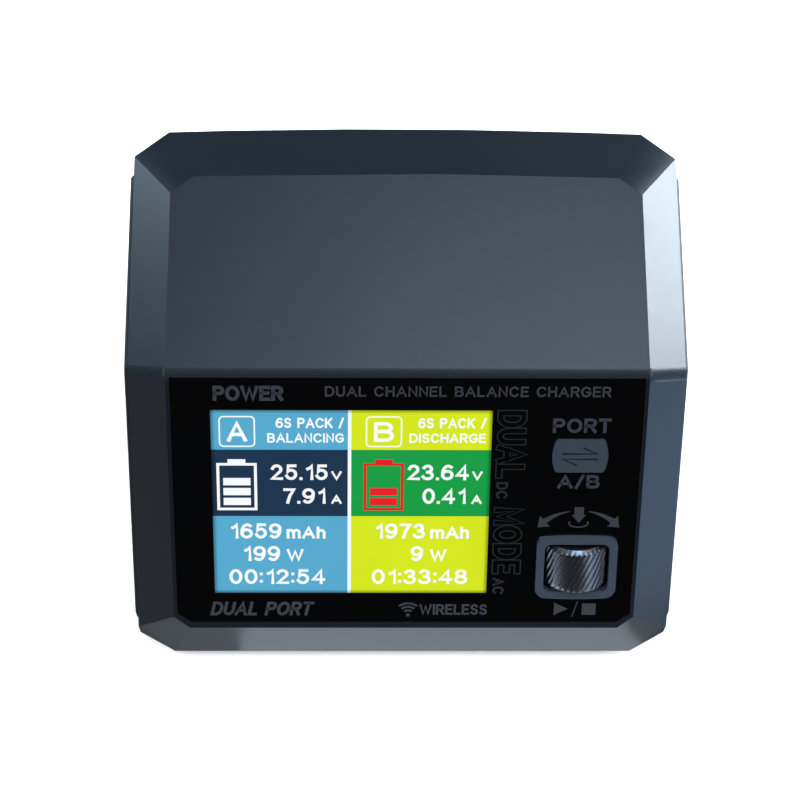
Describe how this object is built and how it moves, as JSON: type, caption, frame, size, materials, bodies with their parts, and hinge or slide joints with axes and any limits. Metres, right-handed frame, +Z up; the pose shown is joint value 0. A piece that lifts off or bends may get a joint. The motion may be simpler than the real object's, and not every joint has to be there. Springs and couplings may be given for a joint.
{
  "type": "balance battery charger",
  "caption": "Faceted desktop balance charger with a sloping front panel, colour display, channel button and a knurled wheel that turns and presses; sockets at the sides and rear.",
  "frame": {"origin": "under the middle of the case, on the surface its feet stand on", "axes": "+Z up, front with the sloping display panel towards -Y, +X to the right as seen from the front"},
  "size_m": [0.13, 0.1124, 0.07],
  "materials": {
    "case_slate": "fine satin moulded plastic, slate blue grey",
    "panel_black": "satin black moulded plastic",
    "lens_black": "polished acrylic, printed black behind",
    "tape_black": "black adhesive tape",
    "foam_black": "closed-cell foam",
    "screen_glass": "display glass, lit in colour",
    "frame_steel": "bent sheet steel",
    "flex_amber": "polyimide flexible circuit",
    "board_green": "glass-epoxy board with solder mask",
    "bright_screw": "zinc plated",
    "black_screw": "black oxide",
    "switch_black": "moulded black plastic",
    "bezel_slate": "satin moulded plastic",
    "button_slate": "satin moulded plastic, dark slate",
    "fish_paper": "insulating sheet",
    "brass": "turned brass",
    "socket_yellow": "moulded nylon, yellow",
    "header_white": "moulded nylon, natural white",
    "gold_contact": "gold plated",
    "tinned_pin": "tin plated",
    "ferrite": "pressed ferrite",
    "capacitor_can": "sleeved aluminium can",
    "aluminium_sink": "extruded aluminium",
    "tape_yellow": "polyester winding tape",
    "film_yellow": "film capacitor case",
    "copper_coil": "enamelled copper wire",
    "inlet_black": "moulded black thermoplastic",
    "lead_black": "insulated wire",
    "lead_red": "silicone insulated wire",
    "fan_black": "moulded black plastic",
    "steel_axle": "ground steel",
    "sensor_ring": "moulded rotary sensor",
    "wheel_metal": "knurled aluminium, dark plated",
    "foot_rubber": "soft rubber"
  },
  "bodies": {
    "root": {"ac_inlet": "inlet_black", "ac_inlet_pins": "tinned_pin", "ac_leads": "lead_black", "balance_header_left": "header_white", "balance_header_right": "header_white", "balance_pins": "tinned_pin", "board_link": "header_white", "board_screws": "bright_screw", "board_standoffs": "brass", "bulk_capacitors": "capacitor_can", "button_switch": "switch_black", "buzzer": "switch_black", "case_screws": "black_screw", "charger_board": "board_green", "charger_heatsink": "aluminium_sink", "dc_inlet": "socket_yellow", "dc_inlet_pins": "gold_contact", "dc_leads": "lead_red", "display_flex": "flex_amber", "display_frame": "frame_steel", "display_gasket": "foam_black", "display_glass": "screen_glass", "emi_choke": "copper_coil", "fan_frame": "fan_black", "fan_screws": "black_screw", "front_lens": "lens_black", "insulator_sheet": "fish_paper", "lens_tape": "tape_black", "line_capacitor": "film_yellow", "lower_case": "case_slate", "output_capacitors": "capacitor_can", "output_contacts": "gold_contact", "output_socket_left": "socket_yellow", "output_socket_right": "socket_yellow", "power_inductors": "ferrite", "psu_board": "board_green", "psu_heatsinks": "aluminium_sink", "rear_panel": "panel_black", "rubber_feet": "foot_rubber", "side_panel_left": "panel_black", "side_panel_right": "panel_black", "transformer_core": "ferrite", "transformer_winding": "tape_yellow", "ui_board": "board_green", "ui_screws": "bright_screw", "upper_case": "case_slate", "usb_socket": "tinned_pin", "usb_tongue": "switch_black", "wheel_bezel": "bezel_slate", "wheel_switch": "switch_black", "wireless_module": "tinned_pin"},
    "channel_button": {"button_plunger": "switch_black", "port_button": "button_slate"},
    "wheel_frame": {"encoder": "sensor_ring", "wheel_axle": "steel_axle", "wheel_carrier": "switch_black", "wheel_plunger": "switch_black"},
    "wheel": {"thumbwheel": "wheel_metal"},
    "fan": {"fan_rotor": "fan_black"}
  },
  "joints": [
    {"name": "button_press", "type": "slide", "parent": "root", "child": "channel_button", "axis": [0, 0.7547, -0.6561], "range_m": [0, 0.0005], "stiffness_N_per_m": 800, "springref_m": -0.001},
    {"name": "wheel_press", "type": "slide", "parent": "root", "child": "wheel_frame", "axis": [0, 0.7547, -0.6561], "range_m": [0, 0.0006], "stiffness_N_per_m": 800, "springref_m": -0.001},
    {"name": "wheel_turn", "type": "hinge", "parent": "wheel_frame", "child": "wheel", "pos_m": [0.04045, -0.03945, 0.02845], "axis": [0, 0.6561, 0.7547], "continuous": true},
    {"name": "fan_spin", "type": "hinge", "parent": "root", "child": "fan", "pos_m": [0.025, 0.0427, 0.0347], "axis": [0, 1, 0], "continuous": true}
  ]
}
